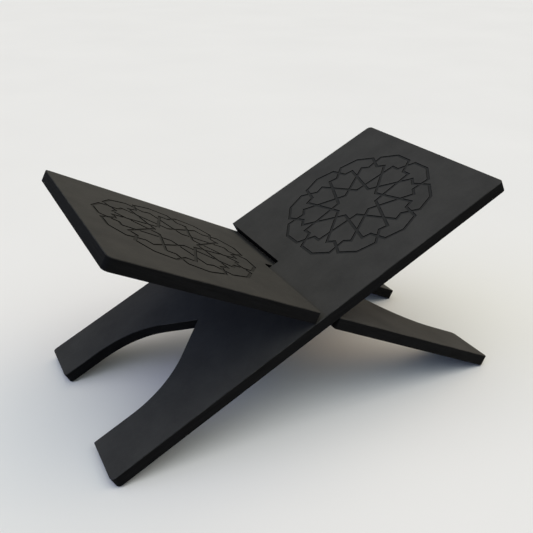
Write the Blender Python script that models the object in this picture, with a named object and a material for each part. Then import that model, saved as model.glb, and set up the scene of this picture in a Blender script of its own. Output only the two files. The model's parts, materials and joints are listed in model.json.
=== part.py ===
"""Cross-slotted book stand (rehal).

Two flat boards, each slotted to the middle of its width, are pushed together
crosswise. The upper half of each board is a panel that the book rests on, and
the lower half has a pointed arch cut out of it, which leaves two legs. The
slots are wider than the boards are thick, so the boards turn against each
other between two stops, where the slots' corners bear on the other board.

Frame: origin on the floor midway between the feet, +X towards the right-hand
panel, +Y away from the reader, +Z up. Metres.
"""
import math

import bmesh
import bpy
from mathutils import Vector

COLLECTION_NAME = "quran_stand"

# Board blank
BOARD_LENGTH = 0.400
BOARD_WIDTH = 0.200
BOARD_THICKNESS = 0.0105
PANEL_LENGTH = 0.1952          # from the crossing up to the top edge
TILT = math.radians(27.0)      # each board's lean from the floor, fully open

# Hand-eased corners. Both boards follow one template, whose slot side is the edge the slot opens at
PLAIN_SIDE_TOP_RADIUS = 0.0035
SLOT_SIDE_TOP_RADIUS = 0.005
PLAIN_SIDE_FOOT_RADIUS = 0.005
SLOT_SIDE_FOOT_RADIUS = 0.003
PLAIN_SIDE_ARCH_RADIUS = 0.001
SLOT_SIDE_ARCH_RADIUS = 0.004

# Pointed arch between the legs, cut in from the foot edge
ARCH_HALF_WIDTH = 0.051
ARCH_APEX = 0.0795             # from the crossing down to the point
ARCH_SLOPE = math.radians(43.0)
ARCH_RADIUS = 0.088

# Halving slots: as wide as the open angle needs, plus running clearance
SLOT_CLEARANCE = 0.0009
SLOT_MOUTH_RADIUS = 0.001
RIGHT_SLOT_PAST_MIDDLE = 0.001
RIGHT_SLOT_END_RADIUS = 0.0008
LEFT_SLOT_PAST_MIDDLE = 0.0015
LEFT_SLOT_END_RADIUS = 0.004

# Curves are cut into chords that stay this close to the true arc
CHORD_ERROR = 0.00002
WELD_DISTANCE = 0.00001

LEG_LENGTH = BOARD_LENGTH - PANEL_LENGTH
SLOT_WIDTH = BOARD_THICKNESS / math.tan(TILT) + SLOT_CLEARANCE
CROSSING_HEIGHT = LEG_LENGTH * math.sin(TILT) + BOARD_THICKNESS / 2 * math.cos(TILT)


def clear_scene():
    for item in list(bpy.data.objects):
        bpy.data.objects.remove(item, do_unlink=True)


def fillet(previous, corner, following, radius):
    """Points of the arc that rounds a corner, from the side before it to the side after."""
    to_previous = (previous - corner).normalized()
    to_following = (following - corner).normalized()
    turn = math.pi - to_previous.angle(to_following)
    setback = radius * math.tan(turn / 2)
    start = corner + to_previous * setback
    bisector = (to_previous + to_following).normalized()
    centre = corner + bisector * (radius / math.cos(turn / 2))
    chord_turn = 2 * math.acos(1 - CHORD_ERROR / radius)
    chords = max(2, math.ceil(turn / chord_turn))
    spoke = start - centre
    clockwise = to_previous.cross(to_following) > 0
    step = (turn if not clockwise else -turn) / chords
    points = []
    for index in range(chords + 1):
        angle = step * index
        turned_x = spoke.x * math.cos(angle) - spoke.y * math.sin(angle)
        turned_y = spoke.x * math.sin(angle) + spoke.y * math.cos(angle)
        points.append((centre.x + turned_x, centre.y + turned_y))
    return points


def rounded_outline(corners):
    """Turn (x, y, radius) corners into outline points, with an arc at each rounded corner."""
    points = []
    count = len(corners)
    for index, (x, y, radius) in enumerate(corners):
        if radius == 0:
            points.append((x, y))
            continue
        previous = Vector(corners[index - 1][:2])
        following = Vector(corners[(index + 1) % count][:2])
        points.extend(fillet(previous, Vector((x, y)), following, radius))
    return points


def board_outline(slot_past_middle, slot_end_radius):
    """One board seen square on: +X up the panel, and the slot open at the +Y edge."""
    top = PANEL_LENGTH
    foot = -LEG_LENGTH
    edge = BOARD_WIDTH / 2
    slot = SLOT_WIDTH / 2
    slot_end = -slot_past_middle
    shoulder = -ARCH_APEX - ARCH_HALF_WIDTH / math.tan(ARCH_SLOPE)
    return rounded_outline([
        (top, -edge, PLAIN_SIDE_TOP_RADIUS),
        (top, edge, SLOT_SIDE_TOP_RADIUS),
        (slot, edge, SLOT_MOUTH_RADIUS),
        (slot, slot_end, slot_end_radius),
        (-slot, slot_end, slot_end_radius),
        (-slot, edge, SLOT_MOUTH_RADIUS),
        (foot, edge, SLOT_SIDE_FOOT_RADIUS),
        (foot, ARCH_HALF_WIDTH, SLOT_SIDE_ARCH_RADIUS),
        (shoulder, ARCH_HALF_WIDTH, ARCH_RADIUS),
        (-ARCH_APEX, 0.0, 0.0),
        (shoulder, -ARCH_HALF_WIDTH, ARCH_RADIUS),
        (foot, -ARCH_HALF_WIDTH, PLAIN_SIDE_ARCH_RADIUS),
        (foot, -edge, PLAIN_SIDE_FOOT_RADIUS),
    ])


def painted_board_material(name, colour, roughness):
    material = bpy.data.materials.new(name)
    material.use_nodes = True
    shader = material.node_tree.nodes["Principled BSDF"]
    shader.inputs["Base Color"].default_value = (*colour, 1.0)
    shader.inputs["Roughness"].default_value = roughness
    shader.inputs["Metallic"].default_value = 0.0
    material.diffuse_color = (*colour, 1.0)
    return material


def extruded_board(name, outline, collection, material):
    """A closed slab of the board's thickness, centred on its own XY plane."""
    curve = bpy.data.curves.new(name + "_outline", "CURVE")
    curve.dimensions = "2D"
    curve.fill_mode = "BOTH"
    curve.extrude = BOARD_THICKNESS / 2
    spline = curve.splines.new("POLY")
    spline.points.add(len(outline) - 1)
    for point, (x, y) in zip(spline.points, outline):
        point.co = (x, y, 0.0, 1.0)
    spline.use_cyclic_u = True
    outline_object = bpy.data.objects.new(name + "_outline", curve)
    collection.objects.link(outline_object)
    bpy.context.view_layer.update()

    depsgraph = bpy.context.evaluated_depsgraph_get()
    mesh = bpy.data.meshes.new_from_object(outline_object.evaluated_get(depsgraph))
    mesh.name = name
    weld = bmesh.new()
    weld.from_mesh(mesh)
    bmesh.ops.remove_doubles(weld, verts=weld.verts, dist=WELD_DISTANCE)
    bmesh.ops.recalc_face_normals(weld, faces=weld.faces)
    weld.to_mesh(mesh)
    weld.free()
    mesh.materials.clear()
    mesh.materials.append(material)

    board = bpy.data.objects.new(name, mesh)
    board.matrix_world = outline_object.matrix_world
    collection.objects.link(board)
    bpy.data.objects.remove(outline_object, do_unlink=True)
    return board


def build_stand():
    clear_scene()
    collection = bpy.data.collections.new(COLLECTION_NAME)
    bpy.context.scene.collection.children.link(collection)

    # The boards cross on this axis, which runs front to back
    crossing = bpy.data.objects.new("crossing_axis", None)
    crossing.empty_display_size = BOARD_WIDTH / 2
    crossing.location = (0.0, 0.0, CROSSING_HEIGHT)
    collection.objects.link(crossing)

    # Leans up to the right, with its slot open at the far edge
    right_board = extruded_board(
        "right_board",
        board_outline(RIGHT_SLOT_PAST_MIDDLE, RIGHT_SLOT_END_RADIUS),
        collection,
        painted_board_material("black_paint_right", (0.040, 0.040, 0.042), 0.55),
    )
    right_board.parent = crossing
    right_board.rotation_euler = (0.0, -TILT, 0.0)

    # The same board turned half round, so its slot is open at the near edge
    left_board = extruded_board(
        "left_board",
        board_outline(LEFT_SLOT_PAST_MIDDLE, LEFT_SLOT_END_RADIUS),
        collection,
        painted_board_material("black_paint_left", (0.044, 0.042, 0.038), 0.55),
    )
    left_board.parent = crossing
    left_board.rotation_euler = (0.0, -TILT, math.pi)
    bpy.context.view_layer.update()


build_stand()
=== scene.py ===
"""Looks for the cross-slotted book stand: two black painted boards with engraved star rosettes."""
import json
import math

import bmesh
import bpy
from mathutils import Matrix, Vector
from mathutils.geometry import delaunay_2d_cdt, intersect_point_line


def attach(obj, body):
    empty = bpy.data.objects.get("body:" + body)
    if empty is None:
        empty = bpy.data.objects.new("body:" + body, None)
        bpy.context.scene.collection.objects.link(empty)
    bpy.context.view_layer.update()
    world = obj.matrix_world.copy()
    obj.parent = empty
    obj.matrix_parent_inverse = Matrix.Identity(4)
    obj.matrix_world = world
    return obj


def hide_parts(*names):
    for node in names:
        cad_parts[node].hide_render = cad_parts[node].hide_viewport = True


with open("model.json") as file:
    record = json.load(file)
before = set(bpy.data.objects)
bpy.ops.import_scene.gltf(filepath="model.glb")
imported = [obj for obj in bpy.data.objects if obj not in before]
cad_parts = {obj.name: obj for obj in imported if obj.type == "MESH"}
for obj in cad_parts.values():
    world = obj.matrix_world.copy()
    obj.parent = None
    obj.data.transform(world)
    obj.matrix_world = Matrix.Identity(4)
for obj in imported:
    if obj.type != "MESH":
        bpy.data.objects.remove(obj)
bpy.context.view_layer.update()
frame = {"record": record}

MM = 0.001

# Boards, in millimetres: +X up the panel from the crossing, +Y towards the slot's open edge
BOARD_WIDTH = 200.0
BOARD_THICKNESS = 10.5
PANEL_LENGTH = 195.2           # from the crossing up to the top edge
LEG_LENGTH = 204.8             # from the crossing down to the foot
PLAIN_SIDE_TOP_RADIUS = 3.5
SLOT_SIDE_TOP_RADIUS = 5.0
PLAIN_SIDE_FOOT_RADIUS = 5.0
SLOT_SIDE_FOOT_RADIUS = 3.0
PLAIN_SIDE_ARCH_RADIUS = 1.0
SLOT_SIDE_ARCH_RADIUS = 4.0
ARCH_HALF_WIDTH = 51.0
ARCH_APEX = 79.5               # from the crossing down to the arch's point
ARCH_SLOPE = math.radians(43.0)
ARCH_RADIUS = 88.0
TILT = math.radians(27.0)      # each board's lean from the floor
SLOT_CLEARANCE = 0.1           # so small that the boards look as if they bear on each other
SLOT_HALF_WIDTH = (BOARD_THICKNESS / math.tan(TILT) + SLOT_CLEARANCE) / 2
SLOT_MOUTH_RADIUS = 1.0
EDGE_ROUNDING = 0.6            # the sanded edge all round both faces
SLOT_EDGE_SHARE = 0.2          # how much of that rounding the slot's edges get
EDGE_STEPS = 4
CHORD_ERROR = 0.008            # arcs are cut into chords that stay this close to them
SMOOTH_ANGLE = math.radians(40.0)

# Rosette: one strand's corners as (radius, angle from the strand's inmost point)
STRAND_CORNERS = ((72.9, 72.0), (69.4, 57.65), (54.5, 49.4), (55.8, 41.25), (19.4, 0.0))
ROSETTE_FOLDS = 10
ROSETTE_SIDE_SHIFT = 0.9       # both rosettes sit slightly to the far side of the middle
GROOVE_WIDTH = 2.8
GROOVE_FLOOR_WIDTH = 2.3
GROOVE_DEPTH = 0.6
CROSSING_MARGIN = 0.01         # a point this close outside a groove's floor still counts as on it
CUT_TOLERANCE = 0.00001

# Paint colours, as linear RGB
FACE_DARK = (0.0137, 0.0131, 0.0121)
FACE_LIGHT = (0.0247, 0.0236, 0.0217)
DUST = (0.060, 0.058, 0.054)
EDGE_DARK = (0.0008, 0.0008, 0.0010)
EDGE_LIGHT = (0.0038, 0.0038, 0.0042)
RIM_DARK = (0.0040, 0.0039, 0.0037)
# The upper rims' lighter colour is a painted highlight, in patches
RIM_HIGHLIGHT = (0.0170, 0.0164, 0.0154)
# The groove walls' colour, far darker than the floors', is painted shade inside the engraved lines
GROOVE_WALL_SHADE_COLOUR = (0.0025, 0.0025, 0.0025)
GROOVE_FLOOR_COLOUR = (0.0140, 0.0140, 0.0135)
FIBRE_SHADE = 0.6              # the engraved lines' darkest fibres, against their colour
FLOOR_DARK = (0.770, 0.770, 0.780)
FLOOR_LIGHT = (0.790, 0.790, 0.800)

# Paint texture: how many features there are to the metre, and how high they stand in metres
CLOUD_SCALE = 24.0
DUST_SCALE = 900.0
RIM_HIGHLIGHT_SCALE = 70.0
LAYER_SCALES = (45.0, 45.0, 650.0)
LAYER_HEIGHT = 0.0003
FIBRE_SCALE = 1500.0
FIBRE_HEIGHT = 0.0001
STIPPLE_SCALE = 620.0
STIPPLE_HEIGHT = 0.00025
TOOTH_SCALE = 2600.0
TOOTH_HEIGHT = 0.00006
FLOOR_CLOUD_SCALE = 3.0

# Faces of a board are sorted into these material slots
FACE_PAINT, EDGE_PAINT, RIM_HIGHLIGHT_PAINT, GROOVE_WALL, GROOVE_FLOOR = range(5)


# ---------------------------------------------------------------- board meshes

def fillet(previous, corner, following, radius):
    """(point, inward normal) pairs along the arc that rounds a counter-clockwise outline's corner."""
    to_previous = (previous - corner).normalized()
    to_following = (following - corner).normalized()
    turn = math.pi - to_previous.angle(to_following)
    start = corner + to_previous * (radius * math.tan(turn / 2))
    centre = corner + (to_previous + to_following).normalized() * (radius / math.cos(turn / 2))
    chords = max(3, math.ceil(turn / (2 * math.acos(1 - CHORD_ERROR / radius))))
    convex = to_previous.cross(to_following) < 0
    points = []
    for index in range(chords + 1):
        angle = turn * index / chords * (1 if convex else -1)
        spoke = Matrix.Rotation(angle, 2) @ (start - centre)
        inward = -spoke.normalized() if convex else spoke.normalized()
        points.append((centre + spoke, inward))
    return points


def slot_edge_share(point):
    """How much of the edge rounding a point of the slot gets: all of it where the mouth begins."""
    beside = min(max((abs(point.x) - SLOT_HALF_WIDTH) / SLOT_MOUTH_RADIUS, 0.0), 1.0)
    return SLOT_EDGE_SHARE + (1.0 - SLOT_EDGE_SHARE) * beside


def board_outline(slot_end, slot_end_radius):
    """The board's outline, counter-clockwise, as (point, inset direction) pairs."""
    edge = BOARD_WIDTH / 2
    slot = SLOT_HALF_WIDTH
    shoulder = -ARCH_APEX - ARCH_HALF_WIDTH / math.tan(ARCH_SLOPE)
    corners = (
        (PANEL_LENGTH, -edge, PLAIN_SIDE_TOP_RADIUS),
        (PANEL_LENGTH, edge, SLOT_SIDE_TOP_RADIUS),
        (slot, edge, SLOT_MOUTH_RADIUS),
        (slot, slot_end, slot_end_radius),
        (-slot, slot_end, slot_end_radius),
        (-slot, edge, SLOT_MOUTH_RADIUS),
        (-LEG_LENGTH, edge, SLOT_SIDE_FOOT_RADIUS),
        (-LEG_LENGTH, ARCH_HALF_WIDTH, SLOT_SIDE_ARCH_RADIUS),
        (shoulder, ARCH_HALF_WIDTH, ARCH_RADIUS),
        (-ARCH_APEX, 0.0, 0.0),
        (shoulder, -ARCH_HALF_WIDTH, ARCH_RADIUS),
        (-LEG_LENGTH, -ARCH_HALF_WIDTH, PLAIN_SIDE_ARCH_RADIUS),
        (-LEG_LENGTH, -edge, PLAIN_SIDE_FOOT_RADIUS),
    )
    outline = []
    for index, (x, y, radius) in enumerate(corners):
        here = Vector((x, y))
        if radius == 0.0:
            # The arch's sharp point: the inset runs straight up the board, mitred
            outline.append((here, Vector((1.0, 0.0)) / math.sin(math.pi / 2 - ARCH_SLOPE)))
            continue
        previous = Vector(corners[index - 1][:2])
        following = Vector(corners[(index + 1) % len(corners)][:2])
        rounded = fillet(previous, here, following, radius)
        if abs(x) == slot:
            rounded = [(point, inward * slot_edge_share(point)) for point, inward in rounded]
        outline.extend(rounded)
    return outline


def strand_loops(centre):
    """The rosette's two interlaced closed lines, as lists of corner points."""
    half_motif = list(STRAND_CORNERS)
    motif = half_motif + [(radius, -angle) for radius, angle in half_motif[-2:0:-1]]
    # A motif spans 144 degrees, so five of them take a strand twice round
    motif_span = 2 * STRAND_CORNERS[0][1]
    loops = []
    for strand in range(2):
        loop = []
        for turn in range(ROSETTE_FOLDS // 2):
            axis = 360 / ROSETTE_FOLDS * (strand + 0.5) - motif_span * turn
            for radius, angle in motif:
                direction = math.radians(axis + angle)
                loop.append(centre + Vector((math.cos(direction), math.sin(direction))) * radius)
        loops.append(loop)
    return loops


def offset_loop(loop, distance):
    """A closed line moved sideways by distance, with mitred corners."""
    moved = []
    for index, here in enumerate(loop):
        before = (here - loop[index - 1]).normalized()
        after = (loop[(index + 1) % len(loop)] - here).normalized()
        side_before = Vector((-before.y, before.x))
        side_after = Vector((-after.y, after.x))
        mitre = (side_before + side_after).normalized()
        moved.append(here + mitre * (distance / mitre.dot(side_before)))
    return moved


def distance_to_loops(point, loops):
    """How far a point is from the nearest of some closed lines."""
    nearest = math.inf
    for loop in loops:
        for index, start in enumerate(loop):
            end = loop[(index + 1) % len(loop)]
            _, share = intersect_point_line(point, start, end)
            share = min(max(share, 0.0), 1.0)
            nearest = min(nearest, (point - start.lerp(end, share)).length)
    return nearest


def fill_face(mesh, ring, height, loops):
    """Fill a face inside a ring of vertices, cutting the rosette's grooves into it."""
    points = [Vector(vertex.co[:2]) for vertex in ring]
    ring_count = len(points)
    lines = []
    floor_corners = set()
    for loop in loops:
        for width in (GROOVE_WIDTH, GROOVE_FLOOR_WIDTH):
            for side in (-0.5, 0.5):
                first = len(points)
                moved = offset_loop(loop, width * side)
                points.extend(moved)
                count = len(moved)
                lines.extend((first + index, first + (index + 1) % count) for index in range(count))
                if width == GROOVE_FLOOR_WIDTH:
                    floor_corners.update(range(first, first + count))
    outline_face = [list(range(ring_count))]
    all_triangles = 0
    places, _, faces, origins, _, face_origins = delaunay_2d_cdt(
        points, lines, outline_face, all_triangles, CUT_TOLERANCE
    )

    vertices = []
    deep = []
    for place, origin in zip(places, origins):
        on_ring = [index for index in origin if index < ring_count]
        if on_ring:
            vertices.append(ring[on_ring[0]])
            deep.append(False)
            continue
        is_floor = any(index in floor_corners for index in origin)
        if not is_floor:
            # Where two strands cross, new points appear that may be on either's floor
            is_floor = distance_to_loops(place, loops) < GROOVE_FLOOR_WIDTH / 2 + CROSSING_MARGIN
        depth = GROOVE_DEPTH if is_floor else 0.0
        vertices.append(mesh.verts.new((place.x, place.y, height - depth)))
        deep.append(is_floor)
    for corners, inside in zip(faces, face_origins):
        if not inside:
            continue
        face = mesh.faces.new([vertices[index] for index in corners])
        corner_depths = [deep[index] for index in corners]
        if all(corner_depths):
            face.material_index = GROOVE_FLOOR
        elif any(corner_depths):
            face.material_index = GROOVE_WALL


def edge_profile():
    """(inset, height) of each ring round the board, from the top face's rim to the underside's."""
    upper = []
    for step in range(EDGE_STEPS + 1):
        angle = math.pi / 2 * step / EDGE_STEPS
        inset = EDGE_ROUNDING * (1 - math.sin(angle))
        drop = EDGE_ROUNDING * (1 - math.cos(angle))
        upper.append((inset, BOARD_THICKNESS / 2 - drop))
    return upper + [(inset, -height) for inset, height in reversed(upper)]


def make_board(name, slot_end, slot_end_radius, rosette_distance, side_shift):
    """A whole board as one closed mesh, with eased edges and its rosette cut into the panel."""
    mesh = bmesh.new()
    outline = board_outline(slot_end, slot_end_radius)
    rings = []
    for inset, height in edge_profile():
        ring = []
        for point, inward in outline:
            place = point + inward * inset
            ring.append(mesh.verts.new((place.x, place.y, height)))
        rings.append(ring)
    count = len(outline)
    # The upper rims get a painted highlight, except along the slot, which the other board covers
    slot_reach = SLOT_HALF_WIDTH + SLOT_MOUTH_RADIUS / 10
    for level, (upper, lower) in enumerate(zip(rings[:-1], rings[1:])):
        for index in range(count):
            following = (index + 1) % count
            side = mesh.faces.new((upper[index], lower[index], lower[following], upper[following]))
            is_highlight_rim = level < EDGE_STEPS and abs(outline[index][0].x) > slot_reach
            side.material_index = RIM_HIGHLIGHT_PAINT if is_highlight_rim else EDGE_PAINT
    rosette = strand_loops(Vector((rosette_distance, side_shift)))
    fill_face(mesh, rings[0], BOARD_THICKNESS / 2, rosette)
    fill_face(mesh, rings[-1], -BOARD_THICKNESS / 2, [])
    bmesh.ops.recalc_face_normals(mesh, faces=mesh.faces)
    bmesh.ops.scale(mesh, vec=(MM, MM, MM), verts=mesh.verts)
    data = bpy.data.meshes.new(name)
    mesh.to_mesh(data)
    mesh.free()
    data.shade_smooth()
    data.set_sharp_from_angle(angle=SMOOTH_ANGLE)
    board = bpy.data.objects.new(name, data)
    bpy.context.collection.objects.link(board)
    flatten = board.modifiers.new("flat_faces_stay_flat", "WEIGHTED_NORMAL")
    flatten.keep_sharp = True
    return board


# ------------------------------------------------------------------- materials

def new_material(name):
    """A material, its node tree and its shader."""
    material = bpy.data.materials.new(name)
    material.use_nodes = True
    tree = material.node_tree
    return material, tree, tree.nodes["Principled BSDF"]


def noise(tree, coordinates, scale, detail, roughness=0.5):
    node = tree.nodes.new("ShaderNodeTexNoise")
    node.inputs["Scale"].default_value = scale
    node.inputs["Detail"].default_value = detail
    node.inputs["Roughness"].default_value = roughness
    tree.links.new(coordinates, node.inputs["Vector"])
    return node.outputs["Fac"]


def ramp(tree, value, low, high, low_to=0.0, high_to=1.0):
    """Turn the range from low to high into the range from low_to to high_to."""
    node = tree.nodes.new("ShaderNodeMapRange")
    node.inputs["From Min"].default_value = low
    node.inputs["From Max"].default_value = high
    node.inputs["To Min"].default_value = low_to
    node.inputs["To Max"].default_value = high_to
    tree.links.new(value, node.inputs["Value"])
    return node.outputs["Result"]


def mixed_colour(tree, factor, first, second):
    """Mix from first, a colour or another node's output, to the colour second."""
    node = tree.nodes.new("ShaderNodeMix")
    node.data_type = "RGBA"
    # The node has an A and a B for each kind of data, and these are the colour ones
    inputs = {item.name: item for item in node.inputs if item.type == "RGBA"}
    tree.links.new(factor, node.inputs["Factor"])
    if isinstance(first, tuple):
        inputs["A"].default_value = (*first, 1.0)
    else:
        tree.links.new(first, inputs["A"])
    inputs["B"].default_value = (*second, 1.0)
    return next(item for item in node.outputs if item.type == "RGBA")


def bump(tree, height, strength, distance, below=None):
    """Raise the surface by height, on top of the bump below if there is one."""
    node = tree.nodes.new("ShaderNodeBump")
    node.inputs["Strength"].default_value = strength
    node.inputs["Distance"].default_value = distance
    tree.links.new(height, node.inputs["Height"])
    if below is not None:
        tree.links.new(below, node.inputs["Normal"])
    return node.outputs["Normal"]


def stretched(tree, coordinates, scale):
    """Texture coordinates scaled differently along each axis."""
    node = tree.nodes.new("ShaderNodeMapping")
    node.inputs["Scale"].default_value = scale
    tree.links.new(coordinates, node.inputs["Vector"])
    return node.outputs["Vector"]


def rolled_surface(tree, coordinates, share=1.0):
    """Roller stipple with a fine tooth over it, or only a share of that roughness."""
    stipple = noise(tree, coordinates, STIPPLE_SCALE, detail=3.0, roughness=0.6)
    tooth = noise(tree, coordinates, TOOTH_SCALE, detail=2.0)
    rolled = bump(tree, stipple, strength=0.35 * share, distance=STIPPLE_HEIGHT)
    return bump(tree, tooth, strength=0.25 * share, distance=TOOTH_HEIGHT, below=rolled)


def face_paint():
    """Matt black paint rolled on fibreboard: cloudy patches, roller stipple and a little dust."""
    material, tree, shader = new_material("black_face_paint")
    coordinates = tree.nodes.new("ShaderNodeTexCoord").outputs["Object"]
    patches = noise(tree, coordinates, CLOUD_SCALE, detail=6.0, roughness=0.68)
    clouds = ramp(tree, patches, low=0.3, high=0.7)
    cloudy = mixed_colour(tree, clouds, FACE_DARK, FACE_LIGHT)
    specks = noise(tree, coordinates, DUST_SCALE, detail=3.0, roughness=0.7)
    dust = ramp(tree, specks, low=0.62, high=0.75, high_to=0.4)
    tree.links.new(mixed_colour(tree, dust, cloudy, DUST), shader.inputs["Base Color"])
    roughness = ramp(tree, clouds, low=0.0, high=1.0, low_to=0.90, high_to=0.82)
    tree.links.new(roughness, shader.inputs["Roughness"])
    shader.inputs["Specular IOR Level"].default_value = 0.55
    tree.links.new(rolled_surface(tree, coordinates), shader.inputs["Normal"])
    return material


def edge_paint():
    """The sawn edges: paint soaked into fibres that lie in layers, so blacker and streaked."""
    material, tree, shader = new_material("black_edge_paint")
    coordinates = tree.nodes.new("ShaderNodeTexCoord").outputs["Object"]
    layered = stretched(tree, coordinates, LAYER_SCALES)
    layers = noise(tree, layered, scale=1.0, detail=4.0, roughness=0.65)
    streaks = ramp(tree, layers, low=0.36, high=0.64)
    streaked = mixed_colour(tree, streaks, EDGE_DARK, EDGE_LIGHT)
    tree.links.new(streaked, shader.inputs["Base Color"])
    shader.inputs["Roughness"].default_value = 0.80
    shader.inputs["Specular IOR Level"].default_value = 0.10
    grain = bump(tree, layers, strength=0.5, distance=LAYER_HEIGHT)
    tooth = noise(tree, coordinates, TOOTH_SCALE, detail=2.0)
    rough_sawn = bump(tree, tooth, strength=0.4, distance=TOOTH_HEIGHT, below=grain)
    tree.links.new(rough_sawn, shader.inputs["Normal"])
    return material


def rim_highlight_paint():
    """The sanded upper rims, with a painted highlight in lighter patches over the black paint."""
    material, tree, shader = new_material("painted_highlight_rim_paint")
    coordinates = tree.nodes.new("ShaderNodeTexCoord").outputs["Object"]
    highlight_noise = noise(tree, coordinates, RIM_HIGHLIGHT_SCALE, detail=5.0, roughness=0.7)
    highlight_patches = ramp(tree, highlight_noise, low=0.42, high=0.66)
    highlighted = mixed_colour(tree, highlight_patches, RIM_DARK, RIM_HIGHLIGHT)
    tree.links.new(highlighted, shader.inputs["Base Color"])
    roughness = ramp(tree, highlight_patches, low=0.0, high=1.0, low_to=0.75, high_to=0.55)
    tree.links.new(roughness, shader.inputs["Roughness"])
    shader.inputs["Specular IOR Level"].default_value = 0.40
    tree.links.new(rolled_surface(tree, coordinates, share=0.6), shader.inputs["Normal"])
    return material


def engraved_paint(name, colour, specular):
    """The engraved lines: cut fibres under a thin coat, darker and rougher than the faces. The walls'
    far darker colour is painted shade inside the groove.
    """
    material, tree, shader = new_material(name)
    coordinates = tree.nodes.new("ShaderNodeTexCoord").outputs["Object"]
    fibres = noise(tree, coordinates, FIBRE_SCALE, detail=4.0, roughness=0.7)
    darkest = tuple(channel * FIBRE_SHADE for channel in colour)
    shade = ramp(tree, fibres, low=0.35, high=0.65)
    tree.links.new(mixed_colour(tree, shade, darkest, colour), shader.inputs["Base Color"])
    shader.inputs["Roughness"].default_value = 0.9
    shader.inputs["Specular IOR Level"].default_value = specular
    fibrous = bump(tree, fibres, strength=0.6, distance=FIBRE_HEIGHT)
    tree.links.new(fibrous, shader.inputs["Normal"])
    return material


def floor_material():
    """Plain pale card with very faint clouds."""
    material, tree, shader = new_material("pale_floor")
    coordinates = tree.nodes.new("ShaderNodeTexCoord").outputs["Object"]
    clouds = noise(tree, coordinates, FLOOR_CLOUD_SCALE, detail=3.0)
    shade = ramp(tree, clouds, low=0.3, high=0.7)
    cloudy = mixed_colour(tree, shade, FLOOR_DARK, FLOOR_LIGHT)
    tree.links.new(cloudy, shader.inputs["Base Color"])
    shader.inputs["Roughness"].default_value = 0.9
    shader.inputs["Specular IOR Level"].default_value = 0.1
    return material


# ------------------------------------------------------------------- the object

crossing = Vector(frame["record"]["behaviour"]["joints"][0]["pos_m"])

# In the order of the material slots
PAINTS = (
    face_paint(),
    edge_paint(),
    rim_highlight_paint(),
    # The walls' darker colour is painted shade inside the grooves
    engraved_paint("engraved_wall_painted_shade", GROOVE_WALL_SHADE_COLOUR, specular=0.03),
    engraved_paint("engraved_floor_paint", GROOVE_FLOOR_COLOUR, specular=0.38),
)

# Piece, CAD node, where its slot ends across the board (negative is past the middle), the slot
# end's corner radius, the rosette's distance up the panel, its shift sideways, and the board's turn
BOARDS = (
    ("right_board_painted", "right_board", -1.0, 0.8, 105.2, ROSETTE_SIDE_SHIFT, 0.0),
    ("left_board_painted", "left_board", -1.5, 4.0, 102.8, -ROSETTE_SIDE_SHIFT, math.pi),
)
for name, node, slot_end, slot_end_radius, rosette_distance, side_shift, turn in BOARDS:
    board = make_board(name, slot_end, slot_end_radius, rosette_distance, side_shift)
    for material in PAINTS:
        board.data.materials.append(material)
    board.location = crossing
    board.rotation_euler = (0.0, -TILT, turn)
    bpy.context.view_layer.update()
    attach(board, node)
    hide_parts(node)


# ------------------------------------------------------- floor, light and camera

FLOOR_SIZE = 16.0
bpy.ops.mesh.primitive_plane_add(size=FLOOR_SIZE, location=(0.0, 0.0, 0.0))
floor = bpy.context.object
floor.name = "floor"
floor.data.materials.append(floor_material())


def soft_light(tree, direction, axis, spread, colour):
    """A broad glow in the surroundings: full along its axis, fading to nothing at its spread."""
    dot = tree.nodes.new("ShaderNodeVectorMath")
    dot.operation = "DOT_PRODUCT"
    tree.links.new(direction, dot.inputs[0])
    dot.inputs[1].default_value = axis
    fade = tree.nodes.new("ShaderNodeMapRange")
    fade.interpolation_type = "SMOOTHSTEP"
    fade.inputs["From Min"].default_value = math.cos(spread)
    fade.inputs["From Max"].default_value = 1.0
    tree.links.new(dot.outputs["Value"], fade.inputs["Value"])
    glow = tree.nodes.new("ShaderNodeVectorMath")
    glow.operation = "SCALE"
    glow.inputs[0].default_value = colour
    tree.links.new(fade.outputs["Result"], glow.inputs["Scale"])
    return glow.outputs["Vector"]


def heading(azimuth, elevation):
    """The unit vector in a direction given in degrees: azimuth from +X towards +Y, elevation up."""
    azimuth = math.radians(azimuth)
    elevation = math.radians(elevation)
    return (
        math.cos(azimuth) * math.cos(elevation),
        math.sin(azimuth) * math.cos(elevation),
        math.sin(elevation),
    )


SURROUNDINGS = (0.17, 0.21, 0.22)
BACKDROP = (0.74, 0.75, 0.74)      # what is seen behind the floor; it lights nothing
# Each one's azimuth and elevation, how far it spreads from there in degrees, and its colour
SOFT_LIGHTS = (
    (0.0, 90.0, 60.0, (1.20, 1.10, 0.88)),       # overhead
    (270.0, 60.0, 45.0, (0.70, 0.85, 0.90)),     # high in front
    (180.0, 25.0, 55.0, (0.29, 0.36, 0.84)),     # cool window, left
    (0.0, 28.0, 55.0, (0.86, 0.60, 0.36)),       # warm lamp, right
)


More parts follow.
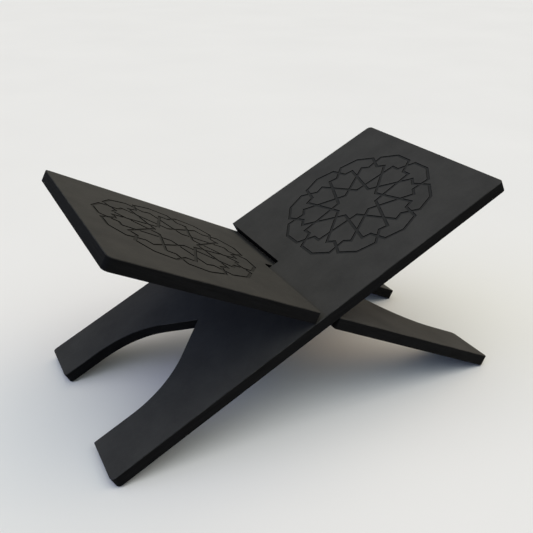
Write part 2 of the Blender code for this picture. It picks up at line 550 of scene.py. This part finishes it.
def studio_world():
    """A dim room with a few broad glows lights the stand, in front of a plain pale backdrop."""
    world = bpy.data.worlds.new("soft_surroundings")
    bpy.context.scene.world = world
    world.use_nodes = True
    tree = world.node_tree
    direction = tree.nodes.new("ShaderNodeTexCoord").outputs["Generated"]
    total = None
    for azimuth, elevation, spread, colour in SOFT_LIGHTS:
        axis = heading(azimuth, elevation)
        glow = soft_light(tree, direction, axis, math.radians(spread), colour)
        add = tree.nodes.new("ShaderNodeVectorMath")
        add.operation = "ADD"
        if total is None:
            add.inputs[0].default_value = SURROUNDINGS
        else:
            tree.links.new(total, add.inputs[0])
        tree.links.new(glow, add.inputs[1])
        total = add.outputs["Vector"]
    lighting = tree.nodes["Background"]
    tree.links.new(total, lighting.inputs["Color"])
    backdrop = tree.nodes.new("ShaderNodeBackground")
    backdrop.inputs["Color"].default_value = (*BACKDROP, 1.0)
    seen = tree.nodes.new("ShaderNodeMixShader")
    direct_view = tree.nodes.new("ShaderNodeLightPath").outputs["Is Camera Ray"]
    tree.links.new(direct_view, seen.inputs["Fac"])
    tree.links.new(lighting.outputs["Background"], seen.inputs[1])
    tree.links.new(backdrop.outputs["Background"], seen.inputs[2])
    tree.links.new(seen.outputs["Shader"], tree.nodes["World Output"].inputs["Surface"])


studio_world()

# A normal lens a little above the stand, from the front left. Its azimuth is how far it is turned
# from facing straight away from the reader
CAMERA_AZIMUTH = math.radians(-28.345)
CAMERA_ELEVATION = math.radians(23.764)
CAMERA_ROLL = math.radians(0.834)
CAMERA_FROM_CROSSING = Vector((-0.26934, -0.51304, 0.28818))
LENS_MM = 47.53
SENSOR_MM = 36.0
SHIFT = (-0.02277, -0.05234)
CLIP_START = 0.01


def camera_axes():
    """The camera's right, up and back directions, as the columns of a matrix."""
    back = Vector((
        math.sin(CAMERA_AZIMUTH) * math.cos(CAMERA_ELEVATION),
        -math.cos(CAMERA_AZIMUTH) * math.cos(CAMERA_ELEVATION),
        math.sin(CAMERA_ELEVATION),
    ))
    level_right = Vector((math.cos(CAMERA_AZIMUTH), math.sin(CAMERA_AZIMUTH), 0.0))
    level_up = back.cross(level_right)
    right = level_right * math.cos(CAMERA_ROLL) + level_up * math.sin(CAMERA_ROLL)
    up = level_up * math.cos(CAMERA_ROLL) - level_right * math.sin(CAMERA_ROLL)
    return Matrix((right, up, back)).transposed()


def make_camera():
    data = bpy.data.cameras.new("camera")
    data.lens = LENS_MM
    data.sensor_width = SENSOR_MM
    data.shift_x, data.shift_y = SHIFT
    data.clip_start = CLIP_START
    camera = bpy.data.objects.new("camera", data)
    place = Matrix.Translation(crossing + CAMERA_FROM_CROSSING)
    camera.matrix_world = place @ camera_axes().to_4x4()
    bpy.context.collection.objects.link(camera)
    return camera


bpy.context.scene.camera = make_camera()
bpy.context.scene.view_settings.view_transform = "Standard"

bpy.context.view_layer.update()
